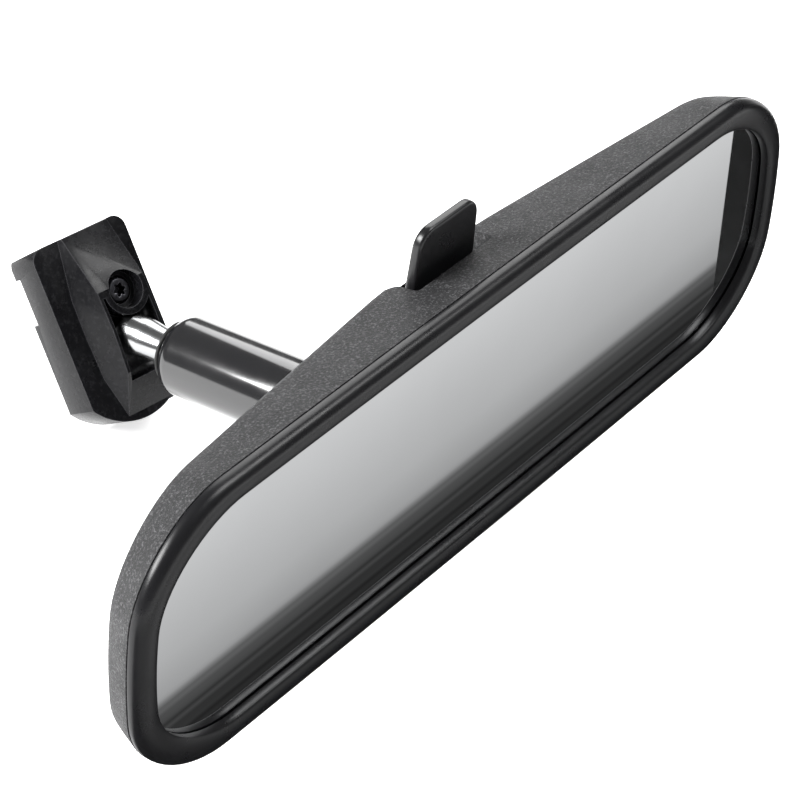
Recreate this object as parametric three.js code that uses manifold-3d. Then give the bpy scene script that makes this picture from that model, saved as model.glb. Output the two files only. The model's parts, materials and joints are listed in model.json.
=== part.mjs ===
// Interior rearview mirror, manual day/night type, on a two-ball arm.
// Millimetres, +Z up. The origin is the seat of the mounting foot on its windscreen button.
// +X runs along the mirror head, -Y is the side that the glass faces, and the tab points up.

import * as THREE from "three";
import { mergeVertices } from "three/addons/utils/BufferGeometryUtils.js";
import Module from "manifold-3d";

const wasm = await Module();
wasm.setup();

// ---- Driving dimensions ----

const GAP = 0.3; // running gap between neighbours
const STEPS = 20; // sides of an ordinary round

// Mirror head: outline of its largest section, centred on the head's own origin
const HEAD_POSITION = [3.6, -113.7, 33.7]; // head's centre, seen from the button seat
const HALF_LENGTH = 120; // at the corners; the short ends bulge beyond it
const HALF_HEIGHT = 36.75; // at the corners; the long edges bulge beyond it
const CORNER_RADIUS = 24.6;
const END_BOW = 4.8; // how far the short ends bulge
const EDGE_BOW = 0.6; // how far the long edges bulge
const CASE_WALL = 1.6;
const CASE_FRONT_Y = 3.5; // parting line between bezel and case
const CASE_INSET = 3.1; // how far the back edge lies inside the outline
const MIDDLE_HALF = 18; // the case is deepest over this half-length
const DEPTH_MIDDLE = 21; // depth at the back edge, in the middle
const DEPTH_END = 10.2; // depth at the back edge, at the ends
const BULGE_MIDDLE = 9; // the back bulges beyond its edge by this much
const BULGE_END = 3.3;
const RIM_WIDTH = 6; // bezel rim, seen from the front
const TAIL_END = 5; // the bezel laps this deep inside the case wall
const GLASS_INSET = 3.8;
const GLASS_FRONT_Y = 2.5;
const GLASS_THIN = 2.4; // prism's thickness at the edge away from the tab
const GLASS_THICK = 4.8; // prism's thickness at the tab's edge
const FILM_THICKNESS = 0.4;
const PAD_THICKNESS = 1.5;

// Arm: two equal balls in a tube, with a spring between them
const CENTRE_X = -3; // everything on the arm and in the mechanism is centred here
const BALL_B = [CENTRE_X, 27, -19.2]; // case-side ball's centre, in the head's own frame
const ARM_DROOP = 5; // degrees that the arm falls towards the foot
const BALL_SPACING = 59.4;
const BALL_RADIUS = 7.2;
const TUBE_RADIUS = 10.3;
const TUBE_BORE = 8.9;
const SHOULDER = 4; // radius of the rolled-in ends
const LIP_RADIUS = 6.3; // opening in a rolled-in end
const LIP_REACH = 5.2; // from a ball's centre to the lip's outer face
const NECK_RADIUS = 3.9;
const NECK_FOOT_RADIUS = 5.3;
const NECK_LENGTH = 17.2; // from the ball's centre to the foot's nose
const SHANK_DEPTH = 4.2; // of the foot-side stud in the nose

// Foot: a channel that slides over the windscreen button
const FOOT_YAW = -9; // degrees about Z
const FOOT_TILT = 35; // degrees that its top leans back with the windscreen
const FOOT_HALF_WIDTH = 14.6;
const NOSE_X = 1.9; // nose and stud lie this far to one side of the channel
const FOOT_TOP = 30.3;
const TOP_SLANT = 7.8; // degrees that the straight end is cut off square
const FOOT_SHOULDER = -12; // where the straight sides end
const FOOT_BOTTOM = -19.4;
const WING_FRONT = -6;
const NOSE_FRONT = -14;
const RIM_BACK = 5;
const RIDGE_HALF = 7.25;
const SLOT_HALF = 10.9;
const MOUTH_HALF = 8.7;
const LIP_DEPTH = 3;
const NOTCH = [12, 24.2]; // the channel's lips are cut away between these heights
const SCREW_X = 2.9;
const SCREW_Z = 13.2;
const SCREW_RADIUS = 3.3;
const RECESS_RADIUS = 4.9;

// Day/night mechanism, in the head's own frame
const HINGE = { y: 16.9, z: -27, radius: 1.2 };
const LEVER_PIVOT = { y: 16.2, z: 25.5, radius: 1.2 };
const TOGGLE_PIN = { y: 15.6, z: 18.5, radius: 1 };
const FRAME_FRONT = 12.2;
const FRAME_BACK = 13.8;
const TAB_HALF = 11.8;
const TAB_X = -1.6;
const TAB_TOP = 49.6;

// ---- Materials ----

const finish = (color, roughness, metalness = 0) =>
  new THREE.MeshStandardMaterial({ color, roughness, metalness });

const GRAINED = finish(0x1c1c1d, 0.75);
const SATIN = finish(0x111112, 0.42);
const PAINT = finish(0x0a0a0b, 0.16);
const TAB_BLACK = finish(0x151516, 0.35);
const CHROME = finish(0xd8dadc, 0.12, 1);
const STEEL = finish(0x8f9194, 0.35, 1);
const BLACK_STEEL = finish(0x2a2b2d, 0.4, 1);
const RUBBER = finish(0x141414, 0.85);
const NYLON = finish(0xdedbd2, 0.5);
const SILVERING = finish(0xc4c7ca, 0.04, 1);
const FILM = finish(0x4b4f55, 0.5);
const FOAM = finish(0x3a3b3d, 0.95);

// ---- Solids: three.js geometry in, manifold-3d for cutting and joining ----

function toSolid(geometry) {
  const bare = geometry.clone();
  bare.deleteAttribute("normal");
  bare.deleteAttribute("uv");
  const merged = mergeVertices(bare, 1e-4);
  const index = merged.index.array;
  const kept = [];
  for (let t = 0; t < index.length; t += 3) {
    const [a, b, c] = [index[t], index[t + 1], index[t + 2]];
    if (a !== b && b !== c && c !== a) kept.push(a, b, c);
  }
  const mesh = new wasm.Mesh({
    numProp: 3,
    vertProperties: new Float32Array(merged.attributes.position.array),
    triVerts: new Uint32Array(kept),
  });
  mesh.merge();
  return new wasm.Manifold(mesh);
}

function toGeometry(solid) {
  const mesh = solid.getMesh();
  const geometry = new THREE.BufferGeometry();
  geometry.setAttribute("position", new THREE.BufferAttribute(mesh.vertProperties, 3));
  geometry.setIndex(new THREE.BufferAttribute(mesh.triVerts, 1));
  const flat = geometry.toNonIndexed();
  flat.computeVertexNormals();
  return flat;
}

const join = (...parts) => parts.reduce((whole, part) => whole.add(part));
const cut = (body, ...tools) => tools.reduce((left, tool) => left.subtract(tool), body);

function block([x0, x1], [y0, y1], [z0, z1]) {
  const box = new THREE.BoxGeometry(x1 - x0, y1 - y0, z1 - z0);
  box.translate((x0 + x1) / 2, (y0 + y1) / 2, (z0 + z1) / 2);
  return toSolid(box);
}

// Round bar along X, Y or Z, from one coordinate on that axis to another
function bar(axis, from, to, radius, at, sides = STEPS) {
  const cylinder = new THREE.CylinderGeometry(radius, radius, to - from, sides);
  cylinder.translate(0, (from + to) / 2, 0);
  if (axis === "x") cylinder.rotateZ(-Math.PI / 2);
  if (axis === "z") cylinder.rotateX(Math.PI / 2);
  cylinder.translate(...at);
  return toSolid(cylinder);
}

// Profile of [radius, y] turned about the Y axis
function turned(profile, sides = STEPS) {
  const points = profile.map(([radius, y]) => new THREE.Vector2(radius, y));
  return new THREE.LatheGeometry(points, sides);
}

// Arc of [radius, y] points about a centre; angles in degrees from the radial direction
function arc([r, y], radius, from, to, steps) {
  const points = [];
  for (let i = 0; i <= steps; i += 1) {
    const angle = THREE.MathUtils.degToRad(from + ((to - from) * i) / steps);
    points.push([r + radius * Math.cos(angle), y + radius * Math.sin(angle)]);
  }
  return points;
}

// Outline of [x, z] points pushed along Y
function plate(points, y0, y1) {
  const shape = new THREE.Shape(points.map(([x, z]) => new THREE.Vector2(x, z)));
  const geometry = new THREE.ExtrudeGeometry(shape, { depth: y1 - y0, bevelEnabled: false });
  geometry.rotateX(Math.PI / 2);
  geometry.translate(0, y1, 0);
  return geometry;
}

// Outline of [y, z] points pushed along X
function slab(points, x0, x1) {
  const shape = new THREE.Shape(points.map(([y, z]) => new THREE.Vector2(y, z)));
  const geometry = new THREE.ExtrudeGeometry(shape, { depth: x1 - x0, bevelEnabled: false });
  geometry.rotateY(Math.PI / 2);
  geometry.rotateX(Math.PI / 2);
  geometry.translate(x0, 0, 0);
  return geometry;
}

// ---- Outline of the mirror head ----

const LONG_STOPS = [0, 18, 40, 65]; // points on a long edge's half, before its corner
const CORNER_STEPS = 7;
const END_STOPS = [8]; // point on a short end's half, after its corner

function headQuarter() {
  const cornerX = HALF_LENGTH - CORNER_RADIUS;
  const cornerZ = HALF_HEIGHT - CORNER_RADIUS;
  const quarter = LONG_STOPS.map((x) => [x, HALF_HEIGHT]);
  for (let i = 0; i <= CORNER_STEPS; i += 1) {
    const angle = (Math.PI / 2) * (1 - i / CORNER_STEPS);
    const x = cornerX + CORNER_RADIUS * Math.cos(angle);
    quarter.push([x, cornerZ + CORNER_RADIUS * Math.sin(angle)]);
  }
  END_STOPS.forEach((z) => quarter.push([HALF_LENGTH, z]));
  quarter.push([HALF_LENGTH, 0]);
  return quarter.map(([x, z]) => [
    x + END_BOW * (x / HALF_LENGTH) * (1 - (z / HALF_HEIGHT) ** 2),
    z + EDGE_BOW * (z / HALF_HEIGHT) * (1 - (x / HALF_LENGTH) ** 2),
  ]);
}

// Clockwise seen from the glass side, from the middle of the tab's edge
function headOutline() {
  const right = headQuarter();
  const below = right.slice(0, -1).reverse().map(([x, z]) => [x, -z]);
  const half = [...right, ...below];
  const left = half.slice(1, -1).reverse().map(([x, z]) => [-x, z]);
  return [...half, ...left];
}

const OUTLINE = headOutline();

function insetPoint([x, z], inset) {
  return [x * (1 - inset / HALF_LENGTH), z * (1 - inset / HALF_HEIGHT)];
}

// Rows of {inset, scale, y} around the head's outline, in a lathe's order of points
function lofted(rows) {
  const seed = rows.map((row, j) => new THREE.Vector2(row.scale === 0 ? 0 : 1, j));
  const geometry = new THREE.LatheGeometry(seed, OUTLINE.length);
  const position = geometry.attributes.position;
  for (let i = 0; i <= OUTLINE.length; i += 1) {
    rows.forEach((row, j) => {
      const scale = row.scale ?? 1;
      const [x, z] = insetPoint(OUTLINE[i % OUTLINE.length], row.inset);
      const y = typeof row.y === "function" ? row.y(x * scale, z * scale) : row.y;
      position.setXYZ(i * rows.length + j, x * scale, y, z * scale);
    });
  }
  return geometry;
}

// Depth of the case's back edge, a shallow wedge to both ends
function edgeDepth(x) {
  const slope = (DEPTH_MIDDLE - DEPTH_END) / (HALF_LENGTH - MIDDLE_HALF);
  return DEPTH_MIDDLE - slope * Math.max(0, Math.abs(x) - MIDDLE_HALF);
}

function bulge(x, scale) {
  const part = Math.min(1, Math.abs(x) / HALF_LENGTH);
  const height = THREE.MathUtils.lerp(BULGE_MIDDLE, BULGE_END, part);
  return height * (1 - scale * scale);
}

// Outer or inner skin of the case; thickness is how far it lies inside the outer one
function caseSkin(thickness) {
  const side = (part) => (x) => CASE_FRONT_Y + part * (edgeDepth(x) - thickness - CASE_FRONT_Y);
  const back = (scale) => (x) => edgeDepth(x) - thickness + bulge(x, scale);
  const rows = [
    { inset: thickness, scale: 0, y: CASE_FRONT_Y - thickness },
    { inset: thickness, y: CASE_FRONT_Y - thickness },
  ];
  if (thickness > 0) rows.push({ inset: thickness, y: TAIL_END + GAP });
  rows.push(
    { inset: thickness + 0.85 * CASE_INSET, y: side(0.92) },
    { inset: thickness + 1.1 * CASE_INSET, y: side(0.99) },
  );
  [1, 0.84, 0.66, 0.44, 0.22, 0].forEach((scale) => {
    rows.push({ inset: thickness + 1.8 * CASE_INSET, scale, y: back(scale) });
  });
  return toSolid(lofted(rows));
}

// ---- Head: case, bezel, glass and its backing ----

const POCKET = { front: 12.9, left: -14.3, right: 15, back: 45, floor: 29.8, top: 45 };
const RELIEF = [[-14.3, 18.4], [-17.3, 20.6]]; // the pocket widens towards the back on this side
const POCKET_FLOOR = 1.2; // thickness of its floor
const BOSS_RADIUS = 3;
const BOSS_BORE = 1.3;
const FRAME_SCREWS = [[-30, 21], [24, 21], [-30, -12], [24, -12]];

// The pocket that the tab swings in, open to the back; grown by the thickness of its walls
function pocketSolid(grow, floor) {
  const plan = [
    [POCKET.left - grow, POCKET.front - grow],
    [POCKET.right + grow, POCKET.front - grow],
    [POCKET.right + grow, POCKET.back],
    [RELIEF[1][0] - grow, POCKET.back],
    [RELIEF[1][0] - grow, RELIEF[1][1]],
    [RELIEF[0][0] - grow, RELIEF[0][1]],
  ];
  const shape = new THREE.Shape(plan.map(([x, y]) => new THREE.Vector2(x, y)));
  const depth = POCKET.top - floor;
  const prism = new THREE.ExtrudeGeometry(shape, { depth, bevelEnabled: false });
  prism.translate(0, 0, floor);
  return toSolid(prism);
}

function rearCase() {
  const outer = caseSkin(0);
  const pocketWall = pocketSolid(CASE_WALL, POCKET.floor - POCKET_FLOOR);
  const cavity = cut(caseSkin(CASE_WALL), pocketWall);
  const bosses = FRAME_SCREWS.map(([x, z]) =>
    bar("y", FRAME_BACK + GAP, 40, BOSS_RADIUS, [x, 0, z], 16).intersect(outer));
  const bossHoles = FRAME_SCREWS.map(([x, z]) => bar("y", FRAME_BACK, 19, BOSS_BORE, [x, 0, z], 12));
  const whole = join(outer.subtract(cavity), ...bosses);
  const armOpening = turned([[0, 20], [12, 20], [12.6, 26], [15.5, 40], [0, 40]], 32);
  armOpening.translate(BALL_B[0], 0, BALL_B[2]);
  const slotHalf = TAB_HALF + 2 * GAP;
  const leverSlot = block([TAB_X - slotHalf, TAB_X + slotHalf], [POCKET.front, 22], [27, 31]);
  const pocket = pocketSolid(0, POCKET.floor);
  return cut(whole, ...bossHoles, toSolid(armOpening), pocket, leverSlot);
}

function bezel() {
  const profile = [
    [RIM_WIDTH, 0.3],
    [4.8, -0.35],
    [3, -0.6],
    [1.4, -0.1],
    [0.35, 1],
    [0, 2.3],
    [0, CASE_FRONT_Y - GAP],
    [1.9, CASE_FRONT_Y - GAP],
    [1.9, TAIL_END],
    [3.1, TAIL_END],
    [3.1, GLASS_FRONT_Y - GAP],
    [RIM_WIDTH, GLASS_FRONT_Y - GAP],
  ];
  const rows = [...profile, profile[0]].map(([inset, y]) => ({ inset, y }));
  return toSolid(lofted(rows));
}

const glassBack = (z) => {
  const middle = (GLASS_THIN + GLASS_THICK) / 2;
  return GLASS_FRONT_Y + middle + ((GLASS_THICK - GLASS_THIN) * z) / (2 * HALF_HEIGHT);
};

// Flat sheet on the head's outline, with faces at two depths
function sheet(inset, front, back) {
  return toSolid(lofted([
    { inset, scale: 0, y: front },
    { inset, y: front },
    { inset, y: back },
    { inset, scale: 0, y: back },
  ]));
}

const glass = () => sheet(GLASS_INSET, () => GLASS_FRONT_Y, (x, z) => glassBack(z));

function layer(inset, offset, thickness) {
  return sheet(inset, (x, z) => glassBack(z) + offset, (x, z) => glassBack(z) + offset + thickness);
}

const film = () => layer(GLASS_INSET + 0.4, GAP, FILM_THICKNESS);
const pad = () => layer(GLASS_INSET + 6, 2 * GAP + FILM_THICKNESS, PAD_THICKNESS);

// ---- Day/night mechanism ----

// Ear with a bore along X, standing on the frame plate
function ear(x0, x1, { y, z, radius }) {
  const outer = radius + 1.3;
  const web = block([x0, x1], [FRAME_BACK - 0.5, y], [z - outer, z + outer]);
  return cut(
    join(web, bar("x", x0, x1, outer, [0, y, z])),
    bar("x", x0 - 1, x1 + 1, radius + GAP, [0, y, z]),
  );
}

function toggleFrame() {
  const plateSolid = block([-34, 28], [FRAME_FRONT, FRAME_BACK], [-31.2, 27]);
  const window = block([-25, 19], [FRAME_FRONT - 1, FRAME_BACK + 1], [-25.5, 22.3]);
  const notchHalf = TAB_HALF + 1.1;
  const hubNotch = block(
    [TAB_X - notchHalf, TAB_X + notchHalf],
    [FRAME_FRONT - 1, FRAME_BACK + 1],
    [20, 29],
  );
  const holes = FRAME_SCREWS.map(([x, z]) => bar("y", 10, 16, BOSS_BORE, [x, 0, z], 12));
  const ears = [
    ear(-24, -20.5, HINGE),
    ear(14.5, 18, HINGE),
    ear(-17.5, -14.8, LEVER_PIVOT),
    ear(10.8, 13.5, LEVER_PIVOT),
  ];
  return cut(join(plateSolid, ...ears), window, hubNotch, ...holes);
}

function frameScrew() {
  const [headFront, headBack, tip] = [10.95, FRAME_FRONT - GAP, 18.4];
  return turned([
    [0, headFront],
    [2.3, headFront],
    [2.3, headBack],
    [1, headBack],
    [1, tip],
    [0, tip],
  ], 12);
}

const LEVER_ARM = { x: [-6, 1], halfWidth: 2.55, end: 15.6 };

function toggleLever() {
  const { y, z, radius } = LEVER_PIVOT;
  const tab = tabSolid();
  const hub = bar("x", TAB_X - TAB_HALF - 0.3, TAB_X + TAB_HALF + 0.3, radius + 1.5, [0, y, z]);
  const armY = y - 0.3;
  const slotHalf = TOGGLE_PIN.radius + 0.35;
  const arm = block(
    LEVER_ARM.x,
    [armY - LEVER_ARM.halfWidth, armY + LEVER_ARM.halfWidth],
    [LEVER_ARM.end, z],
  );
  const slot = block(
    [LEVER_ARM.x[0] - 2, LEVER_ARM.x[1] + 2],
    [TOGGLE_PIN.y - slotHalf, TOGGLE_PIN.y + slotHalf],
    [LEVER_ARM.end - 1, 19.9],
  );
  const bore = bar("x", -30, 30, radius + GAP, [0, y, z]);
  return cut(join(tab, hub, arm), slot, bore);
}

// Thumb tab: thicker at its foot, leaning towards the glass, with round top corners
function tabSolid() {
  const lean = 0.057;
  const base = 24.5;
  const front = (z) => 14.8 - lean * (z - 34);
  const back = (z) => 17.7 - 0.085 * (z - 34);
  const profile = [
    [front(base), base],
    [front(TAB_TOP), TAB_TOP],
    [back(TAB_TOP), TAB_TOP],
    [back(base), base],
  ];
  const body = toSolid(slab(profile.reverse(), TAB_X - TAB_HALF, TAB_X + TAB_HALF));
  return body.intersect(toSolid(plate(tabOutline(), 8, 25)));
}

function tabOutline() {
  const corner = 4.5;
  const taper = 1;
  const steps = 6;
  const reach = TAB_HALF - taper - corner;
  const half = [[TAB_HALF, 20], [TAB_HALF, 33]];
  for (let i = 0; i <= steps; i += 1) {
    const angle = (Math.PI / 2) * (i / steps);
    half.push([reach + corner * Math.cos(angle), TAB_TOP - corner + corner * Math.sin(angle)]);
  }
  const right = half.map(([x, z]) => [TAB_X + x, z]);
  const left = half.map(([x, z]) => [TAB_X - x, z]).reverse();
  return [...right, ...left];
}

const BRACKET = { front: 14.6, back: 16.6, half: 15, bottom: -26.9, top: 11.5 };
const FORK = [[-9.4, -6.9], [1.9, 4.4]]; // the fork's two prongs, along X
const SHANK_RADIUS = 2.3;
const RIVET = { z: -4, radius: 1, head: 2, front: 14.2, back: 18.5 };

function pivotBracket() {
  const { front, back, half, bottom, top } = BRACKET;
  const { y, z, radius } = HINGE;
  const panel = block([CENTRE_X - half, CENTRE_X + half], [front, back], [bottom, top]);
  const knuckle = bar("x", CENTRE_X - half, CENTRE_X + half, radius + 1.5, [0, y, z]);
  const prong = TOGGLE_PIN.radius + 1.2;
  const fork = FORK.map((ends) =>
    block(ends, [TOGGLE_PIN.y - prong, TOGGLE_PIN.y + prong], [top - 2, TOGGLE_PIN.z + prong]));
  const pinBore = bar("x", -12, 8, TOGGLE_PIN.radius + GAP, [0, TOGGLE_PIN.y, TOGGLE_PIN.z], 16);
  const hingeBore = bar("x", -30, 30, radius + GAP, [0, y, z]);
  const shankBore = bar("y", 10, 20, SHANK_RADIUS + GAP, [BALL_B[0], 0, BALL_B[2]]);
  return cut(join(panel, knuckle, ...fork), pinBore, hingeBore, shankBore, rivetBore());
}

// Ball on a neck, with a flange and a shank through the bracket; Y is measured from the ball's centre
function caseBallStud() {
  const seat = BRACKET.back + GAP - BALL_B[1];
  const start = -(Math.asin(NECK_RADIUS / BALL_RADIUS) * 180) / Math.PI;
  const sphere = arc([0, 0], BALL_RADIUS, -90 - start, 90, 8);
  return turned([
    [0, seat - 4],
    [SHANK_RADIUS, seat - 4],
    [SHANK_RADIUS, seat],
    [4.3, seat],
    [4.3, seat + 1],
    [NECK_RADIUS, seat + 1.8],
    ...sphere.slice(0, -1),
    [0, BALL_RADIUS],
  ]);
}

function studNut() {
  const thickness = 1.3;
  const hexagon = new THREE.CylinderGeometry(4.2, 4.2, thickness, 6);
  hexagon.translate(0, BRACKET.front - GAP - thickness / 2, 0);
  return cut(toSolid(hexagon), bar("y", 10, 17, SHANK_RADIUS + GAP, [0, 0, 0]));
}

const rivetBore = () => bar("y", 10, 20, RIVET.radius + GAP, [CENTRE_X, 0, RIVET.z], 12);

function leafSpring() {
  const points = [
    [16.9, 4],
    [18.1, 10.2],
    [19.1, 14.7],
    [19.6, 14.6],
    [18.6, 10],
    [17.5, 4],
    [17.4, -7],
    [16.9, -7],
  ];
  return cut(toSolid(slab(points, -6, 1)), rivetBore());
}

function springRivet() {
  const headFront = 17.4 + GAP;
  return turned([
    [0, RIVET.front],
    [RIVET.radius, RIVET.front],
    [RIVET.radius, headFront],
    [RIVET.head, headFront],
    [RIVET.head, RIVET.back],
    [0, RIVET.back],
  ], 12);
}

// ---- Arm: everything is turned about its axis, Y from the case-side ball to the foot-side ball ----

function armTube() {
  const ends = [-LIP_REACH, BALL_SPACING + LIP_REACH];
  const low = ends[0] + SHOULDER;
  const high = ends[1] - SHOULDER;
  const outerLow = arc([TUBE_RADIUS - SHOULDER, low], SHOULDER, -85, 0, 4);
  const outerHigh = arc([TUBE_RADIUS - SHOULDER, high], SHOULDER, 0, 85, 4);
  const profile = [
    [LIP_RADIUS, ends[0]],
    ...outerLow,
    ...outerHigh,
    [LIP_RADIUS, ends[1]],
    [LIP_RADIUS, ends[1] - 1],
    [TUBE_BORE, ends[1] - 1.8],
    [TUBE_BORE, ends[0] + 1.8],
    [LIP_RADIUS, ends[0] + 1],
    [LIP_RADIUS, ends[0]],
  ];
  return turned(profile, 28);
}

function sealRing() {
  return turned([[6.8, 0], [7.6, 0], [7.9, 0.35], [7.6, 0.9], [6.8, 0.9], [6.8, 0]]);
}

// Thin spherical band round a ball
function ballLiner() {
  const inner = BALL_RADIUS + GAP;
  const outer = TUBE_BORE - 0.5;
  const half = 14;
  const outside = arc([0, 0], outer, -half, half, 2);
  return turned([...outside, ...arc([0, 0], inner, half, -half, 2), outside[0]]);
}

// Cup that the spring presses on a ball; the ball's centre is at Y = 0
function seatCup() {
  const bowl = arc([0, 0], BALL_RADIUS + GAP, 90, 42, 6);
  const [floor, spigot, radius] = [11, 14, 8.3];
  return turned([
    bowl.at(-1),
    [radius, bowl.at(-1)[1]],
    [radius, floor],
    [5.6, floor],
    [5.6, spigot],
    [4.5, spigot],
    [4.5, floor],
    [0, floor],
    [0, BALL_RADIUS + GAP],
    ...bowl.slice(1),
  ], 28);
}

function armSpring() {
  const start = 12.3;
  const end = BALL_SPACING - start;
  const radius = 7;
  const turns = 6;
  const steps = 12;
  const points = [];
  for (let i = 0; i <= turns * steps; i += 1) {
    const angle = (2 * Math.PI * i) / steps;
    const along = start + ((end - start) * i) / (turns * steps);
    points.push(new THREE.Vector3(radius * Math.cos(angle), along, radius * Math.sin(angle)));
  }
  const wire = new THREE.Shape();
  wire.absarc(0, 0, 0.8, 0, 2 * Math.PI);
  return new THREE.ExtrudeGeometry(wire, {
    curveSegments: 3,
    steps: turns * steps,
    extrudePath: new THREE.CatmullRomCurve3(points),
    bevelEnabled: false,
  });
}

// ---- Foot: X across, Y from nose to windscreen, Z up its length; Y = 0 is the button seat ----

function footOutline(half, top, shoulder, bottom, steps) {
  const drop = shoulder - bottom;
  const radius = (half * half + drop * drop) / (2 * drop);
  const centre = bottom + radius;
  const start = Math.asin(half / radius);
  const points = [[half, top], [-half, top]];
  for (let i = 0; i <= steps; i += 1) {
    const angle = start * (1 - (2 * i) / steps);
    points.push([-radius * Math.sin(angle), centre - radius * Math.cos(angle)]);
  }
  return points;
}

// Raised nose between two ridges; its flanks spread towards the wings
function nose() {
  const chain = [
    [-7.2, FOOT_TOP],
    [-13.6, 15],
    [NOSE_FRONT, 4.5],
    [-13, -6.2],
    [-5.6, -17.9],
  ];
  const base = -5;
  const profile = [...chain, ...chain.map(([, z]) => [base, z]).reverse()];
  const geometry = slab(profile.reverse(), -1, 1);
  const position = geometry.attributes.position;
  for (let i = 0; i < position.count; i += 1) {
    const onBase = Math.abs(position.getY(i) - base) < 1e-3;
    const nearest = chain.find(([, z]) => Math.abs(z - position.getZ(i)) < 1e-3);
    const spread = onBase ? 0.4 * (base - nearest[0]) : 0;
    position.setX(i, NOSE_X + Math.sign(position.getX(i)) * (RIDGE_HALF + spread));
  }
  return toSolid(geometry);
}

function mountingFoot() {
  const open = FOOT_TOP + 1;
  const outline = footOutline(FOOT_HALF_WIDTH, FOOT_TOP, FOOT_SHOULDER, FOOT_BOTTOM, 14);
  const channel = footOutline(SLOT_HALF, open, -9, -15.6, 10);
  const mouth = footOutline(MOUTH_HALF, open, -8, -13.2, 10);
  const notch = block([-20, 20], [LIP_DEPTH, RIM_BACK + 1], NOTCH);
  const recess = bar("y", -20, -9.8, RECESS_RADIUS, [SCREW_X, 0, SCREW_Z], 28);
  const screwHole = bar("y", -12, 1, SCREW_RADIUS + GAP, [SCREW_X, 0, SCREW_Z]);
  return cut(
    join(toSolid(plate(outline, WING_FRONT, RIM_BACK)), nose()),
    toSolid(plate(channel, 0, LIP_DEPTH)),
    toSolid(plate(mouth, LIP_DEPTH - 0.1, RIM_BACK + 1)),
    notch,
    squareEnd(),
    recess,
    screwHole,
    studBore(),
  );
}

// Everything above the slanted cut of the straight end
function squareEnd() {
  const box = new THREE.BoxGeometry(60, 60, 20);
  box.translate(0, 0, 10);
  box.rotateX(-THREE.MathUtils.degToRad(TOP_SLANT));
  box.translate(0, WING_FRONT, FOOT_TOP);
  return toSolid(box);
}

// Blind hole for the stud's shank, along the arm and through the nose's face
function studBore() {
  const radius = NECK_FOOT_RADIUS + GAP;
  const length = 24;
  const bore = new THREE.CylinderGeometry(radius, radius, length, STEPS);
  bore.translate(0, NECK_LENGTH + SHANK_DEPTH + GAP - length / 2, 0);
  bore.rotateX(-THREE.MathUtils.degToRad(ARM_DROOP));
  bore.translate(...ballA());
  bore.applyMatrix4(footPlacement().invert());
  return toSolid(bore);
}

// Set screw with a six-lobe socket in its head
function setScrew() {
  const [head, tip, chamfer] = [-10.6, -0.2, 0.6];
  const shank = turned([
    [0, head],
    [SCREW_RADIUS - chamfer, head],
    [SCREW_RADIUS, head + chamfer],
    [SCREW_RADIUS, tip - chamfer],
    [SCREW_RADIUS - chamfer, tip],
    [0, tip],
  ]);
  const lobes = [];
  const steps = 36;
  for (let i = 0; i < steps; i += 1) {
    const angle = (2 * Math.PI * i) / steps;
    const radius = 1.55 + 0.32 * Math.cos(6 * angle);
    lobes.push([radius * Math.cos(angle), radius * Math.sin(angle)]);
  }
  return cut(toSolid(shank), toSolid(plate(lobes, -12, -7.6)));
}

// Ball, cone neck and shank; Y from the ball's centre into the foot
function footBallStud() {
  const start = (Math.asin(NECK_RADIUS / BALL_RADIUS) * 180) / Math.PI;
  const sphere = arc([0, 0], BALL_RADIUS, -90, 90 - start, 8);
  return turned([
    [0, -BALL_RADIUS],
    ...sphere.slice(1),
    [NECK_RADIUS, 7.6],
    [NECK_FOOT_RADIUS, NECK_LENGTH - 1.2],
    [NECK_FOOT_RADIUS, NECK_LENGTH + SHANK_DEPTH],
    [0, NECK_LENGTH + SHANK_DEPTH],
  ]);
}

// ---- Placement ----

function footPlacement() {
  const turn = new THREE.Euler(
    THREE.MathUtils.degToRad(-FOOT_TILT),
    0,
    THREE.MathUtils.degToRad(FOOT_YAW),
    "ZYX",
  );
  return new THREE.Matrix4().makeRotationFromEuler(turn);
}

const ballB = () => BALL_B.map((value, i) => value + HEAD_POSITION[i]);

function ballA() {
  const droop = THREE.MathUtils.degToRad(ARM_DROOP);
  const [x, y, z] = ballB();
  return [x, y + BALL_SPACING * Math.cos(droop), z - BALL_SPACING * Math.sin(droop)];
}

function named(name, shape, material, place = () => {}) {
  const geometry = shape.isBufferGeometry ? toGeometry(toSolid(shape)) : toGeometry(shape);
  const mesh = new THREE.Mesh(geometry, material);
  mesh.name = name;
  place(mesh);
  return mesh;
}

const at = (...position) => (mesh) => mesh.position.set(...position);

const pin = (from, to, { y, z, radius }, sides) => bar("x", from, to, radius, [0, y, z], sides);

function headGroup() {
  const head = new THREE.Group();
  head.position.set(...HEAD_POSITION);
  head.add(
    named("rear_case", rearCase(), GRAINED),
    named("bezel", bezel(), SATIN),
    named("mirror_glass", glass(), SILVERING),
    named("shatter_film", film(), FILM),
    named("foam_pad", pad(), FOAM),
    named("toggle_frame", toggleFrame(), SATIN),
    named("lever_pivot_pin", pin(-17.3, 13.3, LEVER_PIVOT), STEEL),
    named("toggle_lever", toggleLever(), TAB_BLACK),
    named("pivot_bracket", pivotBracket(), STEEL),
    named("hinge_pin", pin(-23.8, 17.8, HINGE), STEEL),
    named("toggle_pin", pin(-9.2, 4.2, TOGGLE_PIN, 16), STEEL),
    named("leaf_spring", leafSpring(), STEEL),
    named("spring_rivet", springRivet(), STEEL, at(CENTRE_X, 0, RIVET.z)),
    named("case_ball_stud", caseBallStud(), CHROME, at(...BALL_B)),
    named("stud_nut", studNut(), STEEL, at(BALL_B[0], 0, BALL_B[2])),
  );
  FRAME_SCREWS.forEach(([x, z], i) => {
    head.add(named(`frame_screw_${i + 1}`, frameScrew(), STEEL, at(x, 0, z)));
  });
  return head;
}

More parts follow.
